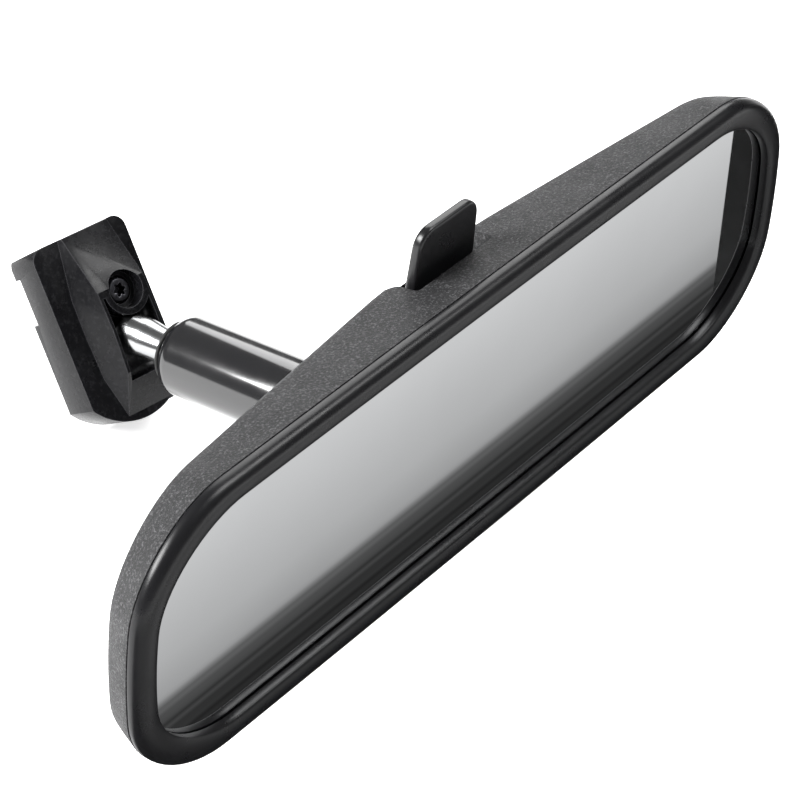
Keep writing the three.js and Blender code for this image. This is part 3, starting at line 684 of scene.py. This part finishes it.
@dataclass
class RearCase:
    """Grained shell behind the glass: a wedge to both ends, a pocket for the tab and an opening for the arm."""

    outline: HeadOutline
    ball: Point
    wall: float = 1.6
    front: float = 3.5
    depth: float = 21.0
    end_depth: float = 11.4
    middle: float = 18.0
    ease: float = 7.0
    bulge: float = 8.6
    edge: Sequence[Pair] = (
        (0, 0), (0.5, 0.2), (1.25, 0.5), (2.0, 0.76), (2.55, 0.91), (3.0, 0.965), (3.7, 0.995), (4.7, 1.005),
    )
    dome: Sequence[float] = (0.93, 0.85, 0.76, 0.66, 0.55, 0.43, 0.3, 0.16)
    opening: Sequence[Pair] = ((0, 16), (12, 16), (12.2, 22), (13.2, 27), (16, 33), (20, 40), (0, 40))
    back_inset: float = 5.6
    pocket_front: float = 12.9
    pocket_sides: Pair = (-14.3, 15.0)
    pocket_floor: float = 29.8
    relief: tuple[Pair, Pair] = ((-14.3, 18.4), (-17.3, 20.6))

    def wedge(self, x: float) -> float:
        """Share of the full depth at a distance from the middle."""
        slope = (self.depth - self.end_depth) / (self.outline.half_length - self.middle) / (self.depth - self.front)
        over = abs(x) - self.middle
        if abs(over) < self.ease:
            over = (over + self.ease) ** 2 / (4 * self.ease)
        return 1 - slope * max(0.0, over)

    def shell(self) -> Bench:
        """The shell's skin, not yet thickened.

        Returns:
            The bench, closed.
        """
        bench = Bench("case_shell")
        self.outline.draw(bench)
        reach = self.depth - self.front
        self.outline.rows(bench, [(inset, self.front + part * reach) for inset, part in self.edge])
        start = self.edge[-1]
        size = (self.outline.half_length, self.outline.half_height)
        bench.extrude((0, self.depth + 0.15 - (self.front + start[1] * reach), 0))
        bench.resize([(1 - self.back_inset / s) / (1 - start[0] / s) if s else 1 for s in (size[0], 0, size[1])])
        was = 1.0
        for scale in self.dome:
            bench.extrude((0, self.bulge * (was**2 - scale**2), 0))
            bench.resize((scale / was, 1, scale / was))
            was = scale
        bench.extrude((0, self.bulge * was**2, 0))
        bpy.ops.mesh.merge(type="CENTER")
        columns = {round(abs((v.co / MM).x), 2) for v in bmesh.from_edit_mesh(bench.part.data).verts}
        for x in sorted(columns):
            bench.pick(Kind.CORNER, lambda at, _: round(abs(at.x), 2) == x)
            bench.resize((1, self.wedge(x), 1), (0, self.front, 0))
        bench.tidy()
        bench.close()
        return bench

    def pocket(self, name: str, grow: float, floor: float) -> bpy.types.Object:
        """The pocket's room, grown by the thickness of its walls.

        Args:
            name: What the tool is called.
            grow: Wall thickness to add.
            floor: Height of its floor.

        Returns:
            The tool.
        """
        left, right = self.pocket_sides
        (rx0, ry0), (rx1, ry1) = self.relief
        far = 45.0
        plan = [
            (left - grow, self.pocket_front - grow), (right + grow, self.pocket_front - grow), (right + grow, far),
            (rx1 - grow, far), (rx1 - grow, ry1), (rx0 - grow, ry0),
        ]
        bench = Bench(name)
        bench.wire([(x, y, floor) for x, y in plan], {0: 1.2 + grow, 1: 1.2 + grow, 4: 1.0, 5: 1.0}, 5)
        bench.pick_all()
        bpy.ops.mesh.edge_face_add()
        bench.extrude((0, 0, far - floor))
        bench.tidy()
        bench.close()
        return bench.part

    @staticmethod
    def tool(name: str, make: Callable[[Bench], None]) -> bpy.types.Object:
        """A tool made on its own bench.

        Args:
            name: What the tool is called.
            make: Models it.

        Returns:
            The tool.
        """
        bench = Bench(name)
        make(bench)
        bench.tidy()
        bench.close()
        return bench.part

    def build(self, shop: Shop, axes: Matrix) -> None:
        """Models the case and hands it over."""
        part = self.shell().part
        outer = part.copy()
        outer.data = part.data.copy()
        bpy.context.scene.collection.objects.link(outer)
        shop.modify(part, "SOLIDIFY", thickness=self.wall * MM, offset=-1.0, use_even_offset=True)
        walls = self.pocket("pocket_walls", self.wall, self.pocket_floor - 1.2)
        self.fill(outer)
        shop.modify(walls, "BOOLEAN", object=outer, operation="INTERSECT", solver="EXACT")
        bpy.data.objects.remove(outer)
        shop.combine(part, Cut.ADD, walls)
        x, _, z = self.ball
        opening = self.tool("arm_opening", lambda bench: bench.spin(self.opening, {}, 64))
        opening.data.transform(Matrix.Translation(to_metres((x, 0, z))))
        slot = self.tool(
            "lever_slot", lambda bench: bench.block((-14.0, self.pocket_front, 26.5), (10.8, 22.0, 31.0))
        )
        shop.combine(part, Cut.REMOVE, self.pocket("pocket_room", 0.0, self.pocket_floor), slot, opening)
        shop.soften(part, 0.28, 2, 40)
        shop.hand_over(part, axes, "case", "case_plastic", ["rear_case"], 30)

    @staticmethod
    def fill(part: bpy.types.Object) -> None:
        """Closes a shell's open front with one face."""
        Shop.choose(part)
        bpy.ops.object.mode_set(mode="EDIT")
        bpy.ops.mesh.select_all(action="DESELECT")
        bpy.context.tool_settings.mesh_select_mode = (False, True, False)
        bpy.ops.mesh.select_non_manifold()
        bpy.ops.mesh.edge_face_add()
        bpy.ops.mesh.select_all(action="SELECT")
        bpy.ops.mesh.normals_make_consistent(inside=False)
        bpy.ops.object.mode_set(mode="OBJECT")


@dataclass
class ThumbTab:
    """Day/night tab on its hub, with the arm that the toggle pin works."""

    centre: float = -1.6
    half: float = 11.8
    base: float = 24.5
    top: float = 49.6
    taper: float = 1.0
    corner: float = 4.5
    hub: tuple[float, float, float] = (16.2, 25.5, 2.7)
    pin: tuple[float, float, float] = (15.6, 18.5, 1.35)

    def plate(self) -> bpy.types.Object:
        """The thumb plate: thicker at its foot, leaning to the glass, with a shallow finger recess.

        Returns:
            The plate.
        """
        bench = Bench("thumb_tab")
        x0, x1 = self.centre - self.half, self.centre + self.half
        bench.block((x0, 15.34, self.base), (x1, 18.5, self.top))
        bench.pick(Kind.FACE, lambda at, normal: normal.z > 0.9)
        bench.move((0, -1.78, 0))
        middle = (self.centre, 15.14, self.top)
        bench.resize(((self.half - self.taper) / self.half, 0.78, 1), middle)
        bench.pick(Kind.EDGE, lambda at, way: abs(way.y) > 0.9 and at.z > self.top - 1)
        bench.bevel(self.corner, 9)
        bench.pick(Kind.FACE, lambda at, normal: normal.y < -0.9)
        bench.inset(1.3)
        bench.pick(Kind.CORNER, lambda at, normal: at.y < 15.3 and self.base + 1 < at.z < self.base + 2)
        bench.move((0, 0, 3.0))
        bench.pick(Kind.FACE, lambda at, normal: normal.y < -0.9 and abs(at.x - self.centre) < 2 and 30 < at.z < 44)
        bench.resize((1, 1, 0.86), (0, 0, 29))
        bench.inset(0.5, -0.5)
        bench.tidy()
        bench.close()
        return bench.part

    def build(self, shop: Shop, axes: Matrix) -> None:
        """Models the tab and hands it over."""
        part = self.plate()
        shop.soften(part, 0.75, 4, 50)
        y, z, radius = self.hub
        reach = self.half + 0.3
        hub = Bench("hub")
        hub.rod((self.centre - reach, y, z), (self.centre + reach, y, z), radius, 40)
        hub.close()
        arm = Bench("arm")
        arm.block((-6, y - 2.85, 15.6), (1, y + 2.25, z))
        arm.close()
        slot = Bench("slot")
        slot.block((-8, self.pin[0] - self.pin[2], 14.6), (3, self.pin[0] + self.pin[2], 19.9))
        slot.close()
        bore = Bench("bore")
        bore.rod((-30, y, z), (30, y, z), 1.5, 32)
        bore.close()
        shop.combine(part, Cut.ADD, hub.part, arm.part)
        shop.combine(part, Cut.REMOVE, slot.part, bore.part)
        shop.hand_over(part, axes, "lever", "tab_plastic", ["toggle_lever"], 35)


# ---- Arm ----


@dataclass
class Arm:
    """Tube with a ball joint in each end; Y runs from the case-side ball to the foot-side ball."""

    spacing: float = 59.4
    radius: float = 10.3
    bore: float = 8.9
    shoulder: float = 4.0
    lip: float = 6.3
    reach: float = 5.2
    ball: float = 7.2
    neck: float = 3.9
    neck_foot: float = 5.3
    neck_length: float = 17.2
    shank: float = 4.2

    def tube(self, shop: Shop, axes: Matrix) -> None:
        """Models the tube with its rolled-in ends."""
        low, high = -self.reach, self.spacing + self.reach
        profile = [
            (self.lip, low), (self.radius, low), (self.radius, high), (self.lip, high),
            (self.lip, high - 1), (self.bore, high - 1.8), (self.bore, low + 1.8), (self.lip, low + 1),
        ]
        bench = Bench("arm_sleeve")
        bench.spin(profile, {1: self.shoulder, 2: self.shoulder}, 112)
        bench.tidy()
        bench.close()
        shop.soften(bench.part, 0.2, 2, 40)
        shop.hand_over(bench.part, axes, "arm", "arm_paint", ["arm_tube"])

    def ring(self, shop: Shop, axes: Matrix, name: str, node: str, y: float, out: float) -> None:
        """Models a retaining ring in one end of the tube.

        Args:
            shop: Finishes it.
            axes: The arm's axes.
            name: What the ring is called.
            node: The CAD node that it replaces.
            y: Where its inner face lies.
            out: 1 if it faces the foot, -1 if it faces the head.
        """
        bench = Bench(name)
        bench.spin([(6.8, y), (7.6, y), (7.9, y + 0.35 * out), (7.6, y + 0.9 * out), (6.8, y + 0.9 * out)], {}, 80)
        bench.tidy()
        bench.close()
        shop.soften(bench.part, 0.15, 2, 30)
        shop.hand_over(bench.part, axes, "arm", "seal_rubber", [node])

    def foot_stud(self, shop: Shop, axes: Matrix) -> None:
        """Models the plated ball, cone neck and shank on the foot's side; Y from the ball's centre."""
        start = math.asin(self.neck / self.ball)
        arc = []
        steps = 20
        for i in range(steps + 1):
            turn = math.pi - (math.pi - start) * i / steps
            arc.append((self.ball * math.sin(turn), self.ball * math.cos(turn)))
        end = self.neck_length
        profile = [
            *arc, (self.neck, 7.4), (self.neck + 0.25, 8.2), (self.neck_foot - 0.1, end - 2.4), (self.neck_foot, end - 1.9),
            (self.neck_foot, end + self.shank), (0, end + self.shank),
        ]
        self.stud("foot_ball_neck", "foot_ball_stud", "foot", profile, shop, axes)

    def case_stud(self, shop: Shop, axes: Matrix, seat: float) -> None:
        """Models the ball, neck, flange and shank on the head's side; Y from the ball's centre.

        Args:
            shop: Finishes it.
            axes: The ball's axes, square to the bracket.
            seat: Where the flange rests.
        """
        start = math.asin(self.neck / self.ball)
        arc = []
        steps = 20
        for i in range(steps + 1):
            turn = (math.pi - start) * i / steps
            arc.append((self.ball * math.sin(turn), self.ball * math.cos(turn)))
        profile = [
            *arc, (self.neck, seat + 1.8), (4.3, seat + 1), (4.3, seat), (2.3, seat), (2.3, seat - 4), (0, seat - 4),
        ]
        self.stud("case_ball_neck", "case_ball_stud", "bracket", profile, shop, axes)

    @staticmethod
    def stud(name: str, node: str, body: str, profile: Sequence[Pair], shop: Shop, axes: Matrix) -> None:
        """Spins a stud and hands it over."""
        bench = Bench(name)
        bench.spin(profile, {}, 88)
        bench.tidy()
        bench.close()
        shop.hand_over(bench.part, axes, body, "chrome", [node], 34)

    def build(self, shop: Shop, record: dict, head: Matrix, ball: Point) -> None:
        """Models the arm's pieces in order."""
        axes = arm_axes(record, "case_ball_twist")
        self.tube(shop, axes)
        self.ring(shop, axes, "case_side_ring", "case_side_seal_ring", -self.reach - 0.3, -1)
        self.ring(shop, axes, "foot_side_ring", "foot_side_seal_ring", self.spacing + self.reach + 0.3, 1)
        self.foot_stud(shop, arm_axes(record, "foot_ball_twist"))
        self.case_stud(shop, head @ Matrix.Translation(to_metres(ball)), 16.9 - ball[1])


# ---- Foot ----


@dataclass
class Foot:
    """Die-cast foot: a channel under a raised nose with two ridges; Y = 0 is the channel's floor."""

    half: float = 14.6
    top: float = 30.3
    shoulder: float = -12.0
    bottom: float = -19.4
    wing: float = -6.0
    back: float = 5.0
    nose: float = 1.9
    ridge: float = 7.25
    spread: float = 0.4
    slot_half: float = 10.9
    mouth_half: float = 8.7
    lip: float = 3.0
    notch: Pair = (12.0, 24.2)
    slant: float = 7.8
    screw: Pair = (2.9, 13.2)
    recess: Pair = (4.9, -9.8)
    crest: Sequence[Pair] = ((-7.2, 30.3), (-13.6, 15), (-14, 4.5), (-13, -6.2), (-5.6, -17.9))
    scoop_floor: float = -9.6
    corner: float = 3.6

    def shield(
        self, name: str, half: float, top: float, shoulder: float, bottom: float, y: Pair, corner: float = 0.0
    ) -> bpy.types.Object:
        """A plate with a straight end and a round end.

        Args:
            name: What it is called.
            half: Half its width.
            top: Height of its straight end.
            shoulder: Where the straight sides end.
            bottom: The round end's lowest point.
            y: From and to, through its thickness.
            corner: Radius of the straight end's corners.

        Returns:
            The plate.
        """
        drop = shoulder - bottom
        radius = (half * half + drop * drop) / (2 * drop)
        bench = Bench(name)
        bpy.ops.mesh.primitive_circle_add(
            vertices=128, radius=radius * MM, fill_type="NGON",
            location=to_metres((0, y[0], bottom + radius)), rotation=(math.pi / 2, 0, 0),
        )
        bench.pick_all()
        bpy.ops.mesh.bisect(
            plane_co=to_metres((0, 0, shoulder)), plane_no=(0, 0, 1), clear_outer=True, use_fill=False, threshold=WELD
        )
        bench.pick(Kind.EDGE, lambda at, way: at.z > shoulder - 0.01 and abs(way.x) > 0.99)
        bench.extrude((0, 0, top - shoulder))
        if corner:
            bench.pick(Kind.CORNER, lambda at, _: at.z > top - 0.01)
            bench.bevel(corner, 8, corners=True)
        bench.pick_all()
        bench.extrude((0, y[1] - y[0], 0))
        bench.tidy()
        bench.close()
        return bench.part

    def raised_nose(self) -> bpy.types.Object:
        """The nose, section by section from the straight end down.

        Returns:
            The nose.
        """
        base = -5.0
        bench = Bench("nose")
        (front, z), *others = self.crest

        def section(y: float) -> list[Pair]:
            """Corners of a section whose front is at y."""
            wide = self.ridge + self.spread * (base - y)
            reach = ((-self.ridge, y), (self.ridge, y), (wide, base), (-wide, base))
            return [(self.nose + x, at) for x, at in reach]

        bench.wire([(x, y, z) for x, y in section(front)])
        bench.pick_all()
        bpy.ops.mesh.edge_face_add()
        for y, lower in others:
            bench.extrude((0, 0, lower - z))
            for (x0, y0), (x1, y1) in zip(section(front), section(y)):
                bench.pick(
                    Kind.CORNER,
                    lambda at, _: abs(at.z - lower) < 0.01 and abs(at.x - x0) < 0.01 and abs(at.y - y0) < 0.01,
                )
                bench.move((x1 - x0, y1 - y0, 0))
            bench.pick(Kind.FACE, lambda at, normal: abs(at.z - lower) < 0.01)
            front, z = y, lower
        bench.tidy()
        bench.close()
        return bench.part

    def scoop(self, shop: Shop) -> bpy.types.Object:
        """Hollow between the ridges, under the screw's boss and round the stud's root.

        Args:
            shop: Cuts the boss out of it.

        Returns:
            The tool.
        """
        side = self.ridge - 0.9
        bench = Bench("scoop")
        bench.block((self.nose - side, -26, -9.0), (self.nose + side, self.scoop_floor, 16))
        bench.pick(Kind.EDGE, lambda at, way: at.y > -15 and at.z < 15)
        bench.bevel(3.2, 8)
        bench.tidy()
        bench.close()
        boss = Bench("boss")
        x, z = self.screw
        boss.rod((x, -40, z), (x, 0, z), self.recess[0] + 1.7, 64)
        boss.close()
        upper = Bench("upper")
        upper.block((x - 20, -40, z), (x + 20, 0, 40))
        upper.close()
        shop.combine(bench.part, Cut.REMOVE, boss.part, upper.part)
        return bench.part

    def casting(self, shop: Shop, axes: Matrix) -> None:
        """Models the casting and hands it over."""
        depth = (self.wing, self.back)
        part = self.shield("foot_casting", self.half, self.top, self.shoulder, self.bottom, depth, self.corner)
        shop.combine(part, Cut.ADD, self.raised_nose())
        open_top = self.top + 2
        channel = self.shield("channel", self.slot_half, open_top, -9, -15.6, (0, self.lip))
        mouth = self.shield("mouth", self.mouth_half, open_top, -8, -13.2, (self.lip - 0.1, self.back + 1))
        notch = Bench("notch")
        notch.block((-20, self.lip, self.notch[0]), (20, self.back + 1, self.notch[1]))
        notch.close()
        square = Bench("square")
        square.block((-30, -30, 0), (30, 30, 20))
        square.close()
        square.part.data.transform(
            Matrix.Translation(to_metres((0, self.wing, self.top))) @ Matrix.Rotation(-math.radians(self.slant), 4, "X")
        )
        recess = Bench("recess")
        x, z = self.screw
        recess.rod((x, -20, z), (x, self.recess[1], z), self.recess[0], 72)
        recess.close()
        bore = Bench("bore")
        bore.rod((x, -12, z), (x, 1, z), 3.6, 48)
        bore.close()
        tools = [channel, mouth, notch.part, square.part, self.scoop(shop), recess.part, bore.part]
        shop.combine(part, Cut.REMOVE, *tools)
        shop.modify(part, "DECIMATE", decimate_type="DISSOLVE", angle_limit=math.radians(0.6))
        shop.soften(part, 0.42, 3, 20)
        shop.hand_over(part, axes, "foot", "foot_paint", ["mounting_foot"], 26)

    def set_screw(self, shop: Shop, axes: Matrix) -> None:
        """Models the set screw with its six-lobe socket and hands it over."""
        x, z = self.screw
        radius, head, tip, chamfer = 3.3, -10.6, -0.2, 0.55
        bench = Bench("lobed_screw")
        bench.spin([
            (0, head), (radius - chamfer, head), (radius, head + chamfer), (radius, tip - chamfer),
            (radius - chamfer, tip), (0, tip),
        ], {}, 72)
        bench.tidy()
        bench.close()
        socket = Bench("socket")
        bpy.ops.mesh.primitive_circle_add(vertices=72, radius=1.55 * MM, fill_type="NGON", rotation=(math.pi / 2, 0, 0))
        verts = bmesh.from_edit_mesh(socket.part.data).verts
        places = sorted({(round(v.co.x / MM, 4), round(v.co.z / MM, 4)) for v in verts})
        for px, pz in places:
            lobe = 1 + 0.2 * math.cos(6 * math.atan2(pz, px))
            socket.pick(Kind.CORNER, lambda at, _: abs(at.x - px) < 0.002 and abs(at.z - pz) < 0.002)
            socket.resize((lobe, 1, lobe))
        socket.pick_all()
        socket.move((0, head - 1, 0))
        socket.extrude((0, 4, 0))
        socket.tidy()
        socket.close()
        shop.combine(bench.part, Cut.REMOVE, socket.part)
        shop.soften(bench.part, 0.12, 2, 35)
        bench.part.data.transform(Matrix.Translation(to_metres((x, 0, z))))
        shop.hand_over(bench.part, axes, "foot", "black_steel", ["set_screw"])

    def build(self, shop: Shop, record: dict) -> None:
        """Models the foot's pieces in order."""
        axes = foot_axes(record)
        self.casting(shop, axes)
        self.set_screw(shop, axes)


# ---- Studio ----


@dataclass(frozen=True)
class Lamp:
    """A soft box that points at the middle of the object."""

    name: str
    place: Point
    size: Pair
    power: float


@dataclass
class Studio:
    """Pale floor, soft light and the camera."""

    floor_half: float = 4.0
    azimuth: float = 57.04
    elevation: float = 37.10
    roll: float = 4.77
    distance: float = 0.7847
    lens: float = 153.0
    focal: float = 3400.0
    pan: Pair = (-91.2, 13.2)
    sky: float = 0.2
    card_reach: Pair = (-0.02, 0.2)
    card_width: float = 0.9
    flag_x: float = 0.1335
    flag_width: float = 0.0125
    flag_height: float = 0.14
    # Painted reflection: greys of the glowing card, dark with fine lighter streaks near the head, pale further out.
    painted_reflection_greys: Sequence[Pair] = (
        (0.0, 0.012), (0.15, 0.015), (0.16, 0.03), (0.163, 0.012), (0.17, 0.05), (0.174, 0.02), (0.18, 0.07), (0.184, 0.03),
        (0.19, 0.1), (0.193, 0.06), (0.2, 0.14), (0.204, 0.12), (0.212, 0.4), (0.25, 0.52), (0.35, 0.7), (0.5, 0.85),
        (1.0, 1.0),
    )
    lamps: Sequence[Lamp] = field(default_factory=lambda: (
        Lamp("key", (-0.74, 0.48, 0.66), (0.5, 0.4), 22.0),
        Lamp("back", (0.75, 0.55, 0.68), (0.7, 0.7), 7.0),
        Lamp("fill", (0.6, -0.5, 1.1), (0.5, 0.5), 9.0),
    ))

    def floor(self, height: float) -> None:
        """Lays a pale floor under the object."""
        bpy.ops.object.select_all(action="DESELECT")
        bpy.ops.mesh.primitive_plane_add(size=2 * self.floor_half, location=(0, 0, height))
        plane = bpy.context.active_object
        plane.name = "floor"
        paper = Finish(
            "floor", (0.93, 0.93, 0.93), 0.6, mottle=0.004, mottle_scale=3, grain=Grain.NONE, specular=0.2, glow=0.72,
        )
        plane.data.materials.append(paper.material())
        plane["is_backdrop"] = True

    def card(self, height: float, front: float) -> None:
        """Lays a ribbed grey card before the head, which only its reflections show: it glows, and paints a reflection
        of a dark band with fine streaks along the glass's lower edge.

        Args:
            height: The floor's height.
            front: Y of the head's front.
        """
        bpy.ops.object.select_all(action="DESELECT")
        near, far = self.card_reach
        bpy.ops.mesh.primitive_plane_add(size=1, location=(0, front - (near + far) / 2, height + 0.2 * MM))
        card = bpy.context.active_object
        card.name = "card"
        card.scale = (self.card_width, far - near, 1)
        bpy.ops.object.transform_apply(location=True, rotation=True, scale=True)
        # Seen only in reflections and casting no shadow: a painted reflection.
        card.visible_camera = card.visible_diffuse = card.visible_shadow = False
        made = bpy.data.materials.new("card")
        made.use_nodes = True
        nodes, links = made.node_tree.nodes, made.node_tree.links
        nodes.clear()
        place = nodes.new("ShaderNodeTexCoord")
        axes = nodes.new("ShaderNodeSeparateXYZ")
        away = nodes.new("ShaderNodeMapRange")
        away.inputs["From Min"].default_value, away.inputs["From Max"].default_value = front - near, front - far
        # Painted reflection: the card's greys by distance from the head.
        ramp = nodes.new("ShaderNodeValToRGB")
        ramp.color_ramp.elements.remove(ramp.color_ramp.elements[1])
        for i, (at, grey) in enumerate(self.painted_reflection_greys):
            stop = ramp.color_ramp.elements[0] if i == 0 else ramp.color_ramp.elements.new(at)
            stop.position = at
            stop.color = (grey, grey, grey, 1)
        glow = nodes.new("ShaderNodeEmission")
        output = nodes.new("ShaderNodeOutputMaterial")
        links.new(place.outputs["Object"], axes.inputs[0])
        links.new(axes.outputs["Y"], away.inputs["Value"])
        links.new(away.outputs["Result"], ramp.inputs["Fac"])
        links.new(ramp.outputs["Color"], glow.inputs["Color"])
        links.new(glow.outputs["Emission"], output.inputs["Surface"])
        card.data.materials.append(made)
        card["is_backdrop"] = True
        self.flag(height, front)

    def flag(self, height: float, front: float) -> None:
        """Stands a narrow black flag beside the glass, which only its reflections show: a painted reflection of a dark
        band along the glass's right end.
        """
        bpy.ops.mesh.primitive_plane_add(size=1, rotation=(0, math.pi / 2, 0))
        flag = bpy.context.active_object
        flag.name = "flag"
        flag.scale = (self.flag_height, self.flag_width, 1)
        flag.location = (self.flag_x, front - self.flag_width / 2, height + self.flag_height / 2 + MM)
        bpy.ops.object.transform_apply(location=True, rotation=True, scale=True)
        # Seen only in reflections and casting no shadow: a painted dark reflection.
        flag.visible_camera = flag.visible_diffuse = flag.visible_shadow = False
        flag.data.materials.append(Finish("flag", (0.03, 0.03, 0.03), 0.9, grain=Grain.NONE, specular=0.0).material())
        flag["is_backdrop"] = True

    def light(self, centre: Vector) -> None:
        """Hangs the lamps and sets the sky."""
        world = bpy.data.worlds.new("sky")
        world.use_nodes = True
        world.node_tree.nodes["Background"].inputs[0].default_value = (1, 1, 1, 1)
        world.node_tree.nodes["Background"].inputs[1].default_value = self.sky
        bpy.context.scene.world = world
        for lamp in self.lamps:
            data = bpy.data.lights.new(lamp.name, "AREA")
            data.shape = "RECTANGLE"
            data.size, data.size_y = lamp.size
            data.energy = lamp.power
            holder = bpy.data.objects.new(lamp.name, data)
            bpy.context.scene.collection.objects.link(holder)
            holder.location = centre + Vector(lamp.place)
            holder.rotation_euler = Vector(lamp.place).to_track_quat("Z", "Y").to_euler()

    def camera(self, target: Vector) -> None:
        """Sets the camera up.

        Args:
            target: The head's centre.
        """
        azimuth, elevation, roll = map(math.radians, (self.azimuth, self.elevation, self.roll))
        back = Vector((
            -math.sin(azimuth) * math.cos(elevation), -math.cos(azimuth) * math.cos(elevation), math.sin(elevation),
        ))
        up = (Vector((0, 0, 1)) - back * back.z).normalized()
        right = up.cross(back)
        right, up = math.cos(roll) * right + math.sin(roll) * up, math.cos(roll) * up - math.sin(roll) * right
        z = (back * self.focal - right * self.pan[0] - up * self.pan[1]).normalized()
        x = (right - z * right.dot(z)).normalized()
        data = bpy.data.cameras.new("camera")
        data.sensor_width, data.lens = 36.0, self.lens
        holder = bpy.data.objects.new("camera", data)
        bpy.context.scene.collection.objects.link(holder)
        made = Matrix((x, z.cross(x), z)).transposed().to_4x4()
        made.translation = target + back * self.distance
        holder.matrix_world = made
        bpy.context.scene.camera = holder

    def build(self, lowest: float, head: Vector) -> None:
        """Makes the floor, the light and the camera."""
        self.floor(lowest)
        self.card(lowest, head.y)
        self.light(head)
        self.camera(head)
        bpy.context.scene.view_settings.view_transform = "Standard"


def dress_nodes(frame: dict, finishes: dict[str, bpy.types.Material]) -> None:
    """Gives every CAD node the finish of its slot.

    Args:
        finishes: Material by slot.
    """
    for row in frame["record"]["subparts"]:
        node = frame["nodes"][row["node"]]
        node.data.materials.clear()
        node.data.materials.append(finishes[row["material_slot"]])


def main() -> None:
    """Builds every sub-assembly in order."""
    logging.basicConfig(level=logging.INFO, format="%(name)s: %(message)s")
    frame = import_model()
    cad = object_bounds()
    record = frame["record"]
    finishes = {slot: finish.material() for slot, finish in FINISHES.items()}
    dress_nodes(frame, finishes)
    shop = Shop(finishes)
    head = head_axes()
    ball = tuple((Vector(joint_of(record, "case_ball_twist")["pos_m"]) - head.translation) / MM)
    outline = HeadOutline()
    Bezel(outline).build(shop, head)
    RearCase(outline, ball).build(shop, head)
    ThumbTab().build(shop, head)
    Arm().build(shop, record, head, ball)
    Foot().build(shop, record)
    Studio().build(cad[0].z, head.translation)


if __name__ == "__main__":
    main()
